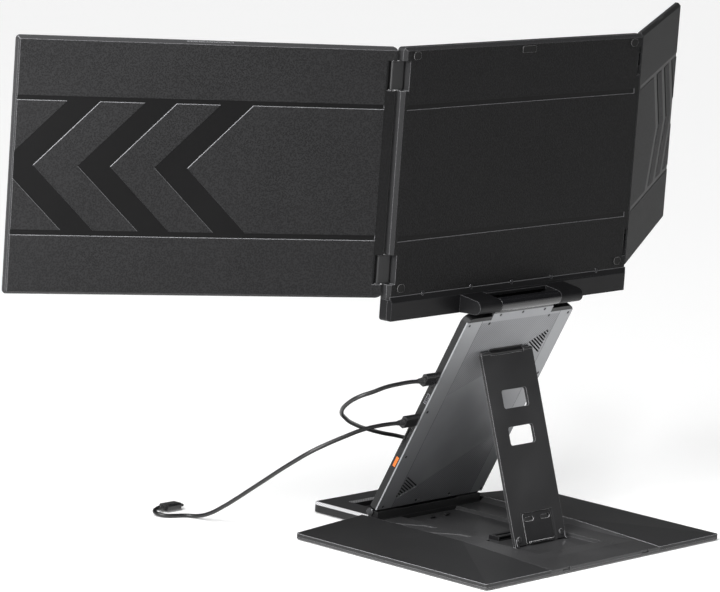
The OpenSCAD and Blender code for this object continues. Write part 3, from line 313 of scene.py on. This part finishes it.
def cover_plastic(name, turn, pivot, back, sunk, tone, sheen):
    """Panel back: leather-like grain on the raised fields, smoother and darker in the sunk ones.

    turn and pivot bring the piece's coordinates to a frame whose Y is the panel's depth, back is
    its outer face there and sunk the depth of its grooves. Chamfers and edges that look up and to
    the user's right, toward the key light, are painted paler as a painted highlight, and edges
    that look away get a painted shadow line. tone is how light the fields are, a painted light
    level set per panel for how much light it gets; sheen is how much they shine.
    """
    paint = Paint(name)
    spin = paint.node("ShaderNodeVectorRotate", rotation_type="Z_AXIS")
    paint.link(paint.place, spin.inputs["Vector"])
    spin.inputs["Center"].default_value = (*pivot, 0)
    spin.inputs["Angle"].default_value = turn
    depth = paint.node("ShaderNodeSeparateXYZ")
    paint.link(spin.outputs["Vector"], depth.inputs[0])
    level = paint.ramp(depth.outputs["Y"], back - sunk * 0.3, back - sunk * 0.7)
    outward = (math.sin(turn), math.cos(turn), 0)
    flat = paint.ramp(paint.facing(paint.own_normal(), outward), 0.80, 0.95)
    sunken = paint.math("MULTIPLY", level, flat)
    coarse = paint.cells(1.5 * MM)
    fine = paint.noise(0.5 * MM, 3)
    grain = paint.math("ADD", paint.math("MULTIPLY", coarse, 0.8), fine)
    height = paint.math("MULTIPLY", grain, paint.ramp(sunken, 0, 1, 1.0, 0.3))
    shade = paint.ramp(paint.noise(60 * MM, 3), 0.3, 0.7)
    field = paint.mix(shade, grey(0.0120 * tone), grey(0.0155 * tone))
    band = paint.mix(shade, grey(0.005 * tone), grey(0.007 * tone))
    base = paint.mix(sunken, field, band)
    specks = paint.math("MULTIPLY", paint.ramp(coarse, 0.30, 0.65),
                        paint.ramp(sunken, 0, 1, 0.5, 0))
    flecked = paint.mix(specks, base, grey(0.010 + 0.024 * tone))
    rounded = paint.own_normal(paint.edge_normal(COVER_EDGE))
    toward = paint.facing(rounded, KEY_LIGHT_SIDE)
    lit = paint.ramp(toward, 0.30, 0.85)
    # chamfers that face the key light painted paler: painted highlight
    bevel = paint.math("MULTIPLY", lit, paint.ramp(paint.facing(rounded, outward), 0.97, 0.80))
    lit_chamfers = paint.mix(bevel, flecked, grey(0.028))
    edge = paint.edges(COVER_EDGE)
    # near-black painted shadow line on edges that face away from the key light
    lined = paint.mix(paint.math("MULTIPLY", edge, paint.ramp(toward, 0.35, 0.0)), lit_chamfers,
                      grey(0.001))
    # pale painted highlight along edges that face the key light
    shown = paint.mix(paint.math("MULTIPLY", edge, lit), lined, grey(0.34))
    rough = paint.math("ADD", paint.ramp(sunken, 0, 1, 0.55, 0.42),
                       paint.ramp(fine, 0.3, 0.7, -0.05, 0.05))
    normal = paint.relief(height, 0.16 * MM, paint.edge_normal(COVER_EDGE))
    return paint.finish(shown, rough, normal, specular=sheen)


# the panels' grooves, how far each side panel is turned, and where the outer faces are
SUNK = 0.6 * MM
RIGHT_TURN = math.radians(30.6)
LEFT_TURN = math.radians(-30.5)
CENTRE_BACK = 95 * MM
RIGHT_BACK_TO_PIVOT = 4.3 * MM
LEFT_BACK_TO_PIVOT = 6.3 * MM

joints = {joint["name"]: joint for joint in frame["joints"]}
right_pivot = Vector(joints["right_screen_swing"]["pos_m"])
left_pivot = Vector(joints["left_screen_swing"]["pos_m"])
right_back = right_pivot.y + RIGHT_BACK_TO_PIVOT
left_back = left_pivot.y + LEFT_BACK_TO_PIVOT

# the arm's own frame: lower edge of its back face, and how far it leans
ARM_LEAN = math.radians(64.5)
ARM_FOOT = Vector((0, 13.951 * MM, 18.557 * MM))

# the arm cover's pattern, across (x) and along (y) the arm
SEAM_RIGHT = 58.5 * MM
SEAM_LEFT = -62 * MM
SEAM_HALF = 0.35 * MM
SOFT = 0.2 * MM  # half the width over which one field fades into the next
UPPER_SLOPE, UPPER_START = 0.465, 161.7 * MM
LOWER_SLOPE, LOWER_END = 0.58, 42.8 * MM
RIBS_END = 221 * MM
RIB_PITCH = 1.45 * MM
RIB_DIRECTION = (0.527, 0.85)


def arm_place(paint):
    """Coordinates across, along and through the arm plate, in metres."""
    shift = paint.node("ShaderNodeVectorMath", operation="SUBTRACT")
    paint.link(paint.place, shift.inputs[0])
    shift.inputs[1].default_value = ARM_FOOT
    spin = paint.node("ShaderNodeVectorRotate", rotation_type="X_AXIS")
    paint.link(shift.outputs[0], spin.inputs["Vector"])
    spin.inputs["Angle"].default_value = -ARM_LEAN
    split = paint.node("ShaderNodeSeparateXYZ")
    paint.link(spin.outputs["Vector"], split.inputs[0])
    return split.outputs


def arm_cover_paint():
    """Satin grey plate: a plain border, two fields of fine slanting ribs, a plain band between."""
    paint = Paint("arm_cover")
    x, y, _ = arm_place(paint)
    inside = paint.math("MULTIPLY", paint.ramp(x, SEAM_RIGHT + SOFT, SEAM_RIGHT - SOFT),
                        paint.ramp(x, SEAM_LEFT - SOFT, SEAM_LEFT + SOFT))
    seam = paint.math("ADD", paint.line(x, SEAM_RIGHT, SEAM_HALF),
                      paint.line(x, SEAM_LEFT, SEAM_HALF), True)
    upper = paint.ramp(paint.math("ADD", y, paint.math("MULTIPLY", x, UPPER_SLOPE)),
                       UPPER_START - SOFT, UPPER_START + SOFT)
    lower = paint.ramp(paint.math("ADD", y, paint.math("MULTIPLY", x, LOWER_SLOPE)),
                       LOWER_END + SOFT, LOWER_END - SOFT)
    top_edge = paint.ramp(y, RIBS_END + SOFT, RIBS_END - SOFT)
    ribbed = paint.math("MULTIPLY", paint.math("MULTIPLY", paint.math("ADD", upper, lower, True),
                                               inside), top_edge)
    across, along = RIB_DIRECTION
    slant = paint.math("SUBTRACT", paint.math("MULTIPLY", y, along),
                       paint.math("MULTIPLY", x, across))
    wave = paint.math("SINE", paint.math("MULTIPLY", slant, 2 * math.pi / RIB_PITCH))
    fine = paint.noise(0.3 * MM, 2)
    cloud = paint.noise(50 * MM, 2)
    height = paint.math("SUBTRACT", paint.math("ADD", paint.math("MULTIPLY", wave, ribbed),
                                               paint.math("MULTIPLY", fine, 0.25)),
                        paint.math("MULTIPLY", seam, 2.5))
    base = paint.mix(paint.ramp(cloud, 0.3, 0.7), (0.28, 0.285, 0.297), (0.33, 0.336, 0.35))
    bordered = paint.mix(inside, (0.33, 0.336, 0.348), base)
    # the ribbed fields painted darker, a little on the crests and most in the troughs between the
    # ribs, where it is painted shade in the rib grooves
    grooves = paint.math("MULTIPLY", paint.ramp(wave, -1.0, 1.0, 0.75, 0.15), ribbed)
    darker = paint.mix(grooves, bordered, (0.15, 0.153, 0.16))
    lined = paint.mix(seam, darker, (0.03, 0.03, 0.032))
    shown = paint.mix(paint.edges(0.3 * MM), lined, (0.25, 0.253, 0.26))
    rough = paint.ramp(fine, 0.2, 0.8, 0.27, 0.37)
    normal = paint.relief(height, 0.05 * MM, paint.edge_normal(0.25 * MM))
    return paint.finish(shown, rough, normal, metallic=0.5)


WING_RIM = 0.8 * MM
STRIP_PITCH = 2.6 * MM


def wing_paint():
    """Fine textured powder coat; facets that fall to the rear painted a little paler as painted
    light, and a painted highlight on rims that face up.
    """
    paint = Paint("base_cover")
    fine = paint.noise(0.5 * MM, 3)
    cloud = paint.noise(50 * MM, 3)
    # facets that fall to the rear painted paler: painted light on the facets, chosen by the way
    # they face
    rearward = paint.ramp(paint.facing(paint.own_normal(), (0, 1, 0)), 0.004, 0.02)
    dark = paint.mix(paint.ramp(cloud, 0.3, 0.7), grey(0.0115), grey(0.0145))
    pale = paint.mix(paint.ramp(cloud, 0.3, 0.7), grey(0.0165), grey(0.0195))
    facets = paint.mix(rearward, dark, pale)
    flecked = paint.mix(paint.ramp(fine, 0.58, 0.80, 0, 0.5), facets, grey(0.045))
    # painted highlight along rim edges that face up
    rounded = paint.own_normal(paint.edge_normal(WING_RIM))
    upper = paint.ramp(paint.facing(rounded, (0, 0, 1)), 0.4, 0.7)
    rim = paint.math("MULTIPLY", paint.edges(WING_RIM), upper)
    shown = paint.mix(rim, flecked, grey(0.60))
    rough = paint.ramp(fine, 0.2, 0.8, 0.46, 0.60)
    normal = paint.relief(fine, 0.05 * MM, paint.edge_normal(0.6 * MM))
    return paint.finish(shown, rough, normal, specular=0.35)


def foot_trim_paint():
    """Black top with pale ribbed strips on its sloping edges."""
    paint = Paint("foot_trim")
    split = paint.node("ShaderNodeSeparateXYZ")
    paint.link(paint.node("ShaderNodeTexCoord").outputs["Normal"], split.inputs[0])
    sloping = paint.ramp(split.outputs["Z"], 0.97, 0.90)
    place = paint.node("ShaderNodeSeparateXYZ")
    paint.link(paint.place, place.inputs[0])
    run = paint.math("ADD", place.outputs["X"], place.outputs["Y"])
    wave = paint.math("SINE", paint.math("MULTIPLY", run, 2 * math.pi / STRIP_PITCH))
    fine = paint.noise(0.35 * MM, 2)
    strip = paint.mix(paint.ramp(wave, -0.6, 0.6), (0.30, 0.30, 0.31), (0.62, 0.62, 0.63))
    top = paint.mix(paint.ramp(fine, 0.3, 0.7), (0.011, 0.011, 0.012), (0.016, 0.016, 0.017))
    shown = paint.mix(sloping, top, strip)
    rough = paint.ramp(fine, 0.2, 0.8, 0.34, 0.48)
    normal = paint.relief(paint.math("ADD", fine, paint.math("MULTIPLY", wave, sloping)),
                          0.03 * MM, paint.edge_normal(0.3 * MM))
    return paint.finish(shown, rough, normal, specular=0.4)


def glass_paint():
    """Switched-off display: near black, with smudges in its gloss."""
    paint = Paint("screen_glass")
    smear = paint.noise(35 * MM, 4)
    base = paint.mix(paint.ramp(smear, 0.3, 0.7), (0.004, 0.004, 0.006), (0.007, 0.007, 0.009))
    rough = paint.ramp(smear, 0.35, 0.75, 0.07, 0.16)
    normal = paint.relief(paint.noise(90 * MM, 1), 0.02 * MM)
    return paint.finish(base, rough, normal, specular=0.6)


def rubber_jacket(name, colour=(0.009, 0.009, 0.0095), roughness=0.34):
    """Soft black of the cables and, a little lighter and smoother, of their plugs."""
    return grained(name, colour, roughness, 0.6 * MM, 0.03 * MM, (0.05, 0.05, 0.05))


paints = {
    "base_cover": wing_paint(),
    "tray_gloss": grained("tray_gloss", (0.036, 0.036, 0.037), 0.33, 0.9 * MM, 0.008 * MM,
                          (0.16, 0.16, 0.165), edge=0.5 * MM, specular=0.28),
    "pan_steel": grained("pan_steel", (0.035, 0.035, 0.036), 0.42, 0.4 * MM, 0.02 * MM,
                         (0.30, 0.30, 0.31), edge=0.4 * MM, specular=0.4),
    "black_plastic": grained("black_plastic", (0.009, 0.009, 0.0095), 0.42, 0.4 * MM, 0.02 * MM,
                             (0.09, 0.09, 0.094), edge=0.4 * MM, specular=0.4),
    "bracket_plastic": grained("bracket_plastic", (0.006, 0.006, 0.0065), 0.40, 0.4 * MM,
                               0.025 * MM, (0.13, 0.13, 0.135), edge=0.6 * MM, specular=0.15),
    "gloss_black": grained("gloss_black", (0.006, 0.006, 0.007), 0.16, 0.8 * MM, 0.004 * MM,
                           (0.08, 0.08, 0.085), coat=0.4),
    "strut_steel": grained("strut_steel", (0.024, 0.024, 0.025), 0.44, 0.35 * MM, 0.03 * MM,
                           (0.42, 0.42, 0.43), edge=0.5 * MM, specular=0.28),
    "door_steel": grained("door_steel", (0.018, 0.018, 0.019), 0.44, 0.35 * MM, 0.03 * MM,
                          (0.85, 0.85, 0.86), edge=0.45 * MM, specular=0.28),
    "dark_metal": grained("dark_metal", (0.05, 0.05, 0.052), 0.28, 0.3 * MM, 0.008 * MM,
                          (0.35, 0.35, 0.36), edge=0.4 * MM, metallic=0.7),
    "steel": grained("steel", (0.55, 0.55, 0.57), 0.24, 0.2 * MM, 0.006 * MM, (0.85, 0.85, 0.87),
                     edge=0.2 * MM, metallic=1.0),
    "screw_black": grained("screw_black", (0.03, 0.03, 0.032), 0.30, 0.2 * MM, 0.01 * MM,
                           (0.5, 0.5, 0.52), edge=0.25 * MM, metallic=0.9),
    "rubber": grained("rubber", (0.004, 0.004, 0.004), 0.70, 0.5 * MM, 0.04 * MM,
                      (0.26, 0.26, 0.26), edge=0.5 * MM, specular=0.25),
    "orange": grained("orange", (0.85, 0.17, 0.015), 0.38, 0.3 * MM, 0.01 * MM,
                      (1.0, 0.42, 0.12), edge=0.3 * MM),
    "board_green": grained("board_green", (0.012, 0.06, 0.026), 0.4, 0.5 * MM, 0.02 * MM,
                           (0.05, 0.16, 0.08)),
    "cable_jacket": rubber_jacket("cable_jacket"),
    "plug_body": rubber_jacket("plug_body", (0.011, 0.011, 0.012), 0.30),
    "foot_trim": foot_trim_paint(),
    "screen_glass": glass_paint(),
    "arm_cover": arm_cover_paint(),
    # one plastic on all three panels; tone paints the light each one gets: the right panel, turned
    # to the key light, painted lighter, and the centre and left panels painted darker as painted
    # shade
    "centre_cover": cover_plastic("centre_cover", 0, (0, 0), CENTRE_BACK, SUNK, tone=0.18,
                                  sheen=0.13),
    "right_cover": cover_plastic("right_cover", RIGHT_TURN, right_pivot.xy, right_back, SUNK,
                                 tone=0.45, sheen=0.14),
    "left_cover": cover_plastic("left_cover", LEFT_TURN, left_pivot.xy, left_back, SUNK,
                                tone=0.2, sheen=0.05),
}

NODE_PAINT = {
    "base_cover": ["right_wing_cover", "left_wing_cover"],
    "tray_gloss": ["base_tray"],
    "pan_steel": ["base_pan"],
    "black_plastic": ["strut_catch", "hook_tabs", "front_foot_frame", "arm_hinge_brackets",
                      "arm_frame", "arm_hinge_barrel", "menu_dial", "strut_hinge_bracket",
                      "centre_bezel", "right_bezel", "left_bezel", "right_hinge_links",
                      "left_hinge_knuckles_centre", "left_hinge_knuckles_side"],
    "bracket_plastic": ["chin_cover", "tilt_bracket"],
    "gloss_black": ["tilt_barrel"],
    "strut_steel": ["strut_plate"],
    "door_steel": ["strut_door"],
    "foot_trim": ["front_foot_trim"],
    "dark_metal": ["arm_hinge_caps"],
    "steel": ["arm_hinge_pin", "strut_hinge_pin", "tilt_shaft", "strut_foot_pin",
              "upper_usb_port", "lower_usb_port", "mini_video_port", "right_hinge_pins_centre",
              "right_hinge_pins_side", "left_hinge_pins"],
    "screw_black": ["arm_cover_screws", "chin_screws", "base_screws"],
    "rubber": ["rubber_feet", "centre_bumpers"],
    "orange": ["power_button"],
    "board_green": ["control_board", "centre_display_board", "right_display_board",
                    "left_display_board"],
    "screen_glass": ["centre_glass", "right_glass", "left_glass"],
    "arm_cover": ["arm_back_cover"],
    "centre_cover": ["centre_back_cover"],
    "right_cover": ["right_back_cover"],
    "left_cover": ["left_back_cover"],
    "plug_body": ["upper_cable_plug", "lower_cable_plug", "lower_cable_end_plug",
                  "upper_cable_end_plug"],
    "cable_jacket": ["lower_cable", "upper_cable", "upper_cable_coil"],
}


def paint_nodes():
    for paint, names in NODE_PAINT.items():
        for name in names:
            node = nodes[name]
            node.data.materials.clear()
            node.data.materials.append(paints[paint])


paint_nodes()

# ---- cables ----

CABLE_D = 4 * MM

# routes in millimetres, the same points as in part.scad
LOWER_PATH = [(110.3, 56, 116.4), (119, 54.5, 116.3), (130, 51.5, 115.5), (148, 46, 112.5),
              (165, 38, 106), (180, 28, 98), (190, 18, 90), (196, 4, 79), (200, -10, 68),
              (201, -26, 56), (201, -44, 43), (201, -62, 30), (200, -80, 18), (200, -97, 8),
              (201, -110, 3.2), (206, -121, 2), (217, -127, 2), (223.5, -130.5, 2.1),
              (227.5, -136, 2.6), (227.5, -142, 3.2), (223.5, -147.3, 4), (217, -150, 4.5)]
UPPER_PATH = [(110.3, 77.2, 161.1), (120, 77, 161.5), (134, 76, 161), (151, 73, 159),
              (165, 69, 155), (174, 61.5, 150.5), (175.5, 49, 142.1), (168.1, 35, 131),
              (147.2, 22.5, 119.1), (114.7, 9, 106.3), (81.1, -0.8, 95.9), (55.6, -4.5, 88.9),
              (39.3, -6, 85.2), (23.5, -8, 81.1), (8, -13, 77), (-8, -22, 69), (-23, -34, 57),
              (-38, -48, 42.5), (-54, -62, 27), (-72, -75, 13), (-92, -84.5, 4.2), (-112, -88, 2),
              (-136, -86.3, 2), (-150, -86, 2)]
COIL_CENTRE = (-150, -110)
COIL_STEPS = 16  # points in each turn
INNER, OUTER = 20, 24  # radii of the coil's two rings, in millimetres
GROUND, UPPER_LAYER = 2, 6.1  # heights of the cable's middle in its two layers
# how the coil's radius and height go with the number of turns, straight between these rows; the
# last one leads down to the end plug
COIL_COURSE = [(0, OUTER, GROUND), (1, OUTER, GROUND), (1.25, INNER, GROUND), (2, INNER, GROUND),
               (2.25, INNER, UPPER_LAYER), (3, INNER, UPPER_LAYER), (3.25, OUTER, UPPER_LAYER),
               (4, OUTER, UPPER_LAYER), (4.25, 28, 3.25)]


def coil_points():
    """Two turns inward on the desk, two outward on top of them, then down to the end plug."""
    points = []
    last_turn = COIL_COURSE[-1][0]
    for step in range(1, int(last_turn * COIL_STEPS) + 1):
        turn = step / COIL_STEPS
        for (start, *before), (end, *after) in zip(COIL_COURSE, COIL_COURSE[1:]):
            if turn <= end:
                share = (turn - start) / (end - start)
                radius, height = (a + share * (b - a) for a, b in zip(before, after))
                break
        angle = math.pi / 2 + 2 * math.pi * turn
        points.append((COIL_CENTRE[0] + radius * math.cos(angle),
                       COIL_CENTRE[1] + radius * math.sin(angle), height))
    return points


def cable(name, points, replaced):
    """A cord from a plug on the arm: a round tube along the given points, standing in for the
    replaced parts, which are hidden.
    """
    data = bpy.data.curves.new(name, "CURVE")
    data.dimensions = "3D"
    data.resolution_u = 6
    data.bevel_depth = CABLE_D / 2
    data.bevel_resolution = 4
    data.use_fill_caps = True
    spline = data.splines.new("BEZIER")
    spline.bezier_points.add(len(points) - 1)
    for knot, point in zip(spline.bezier_points, points):
        knot.co = Vector(point) * MM
        knot.handle_left_type = knot.handle_right_type = "AUTO"
    data.materials.append(paints["cable_jacket"])
    drawn = bpy.data.objects.new(name + "_drawn", data)
    scene.collection.objects.link(drawn)
    bpy.context.view_layer.update()
    mesh = bpy.data.meshes.new_from_object(drawn)
    bpy.data.objects.remove(drawn)
    made = bpy.data.objects.new(name, mesh)
    scene.collection.objects.link(made)
    mesh.shade_smooth()
    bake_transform(made)
    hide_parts(*replaced)


cable("lower_signal_cable", LOWER_PATH, ["lower_cable"])
cable("upper_signal_cable", UPPER_PATH + coil_points(),
      ["upper_cable", "upper_cable_coil"])
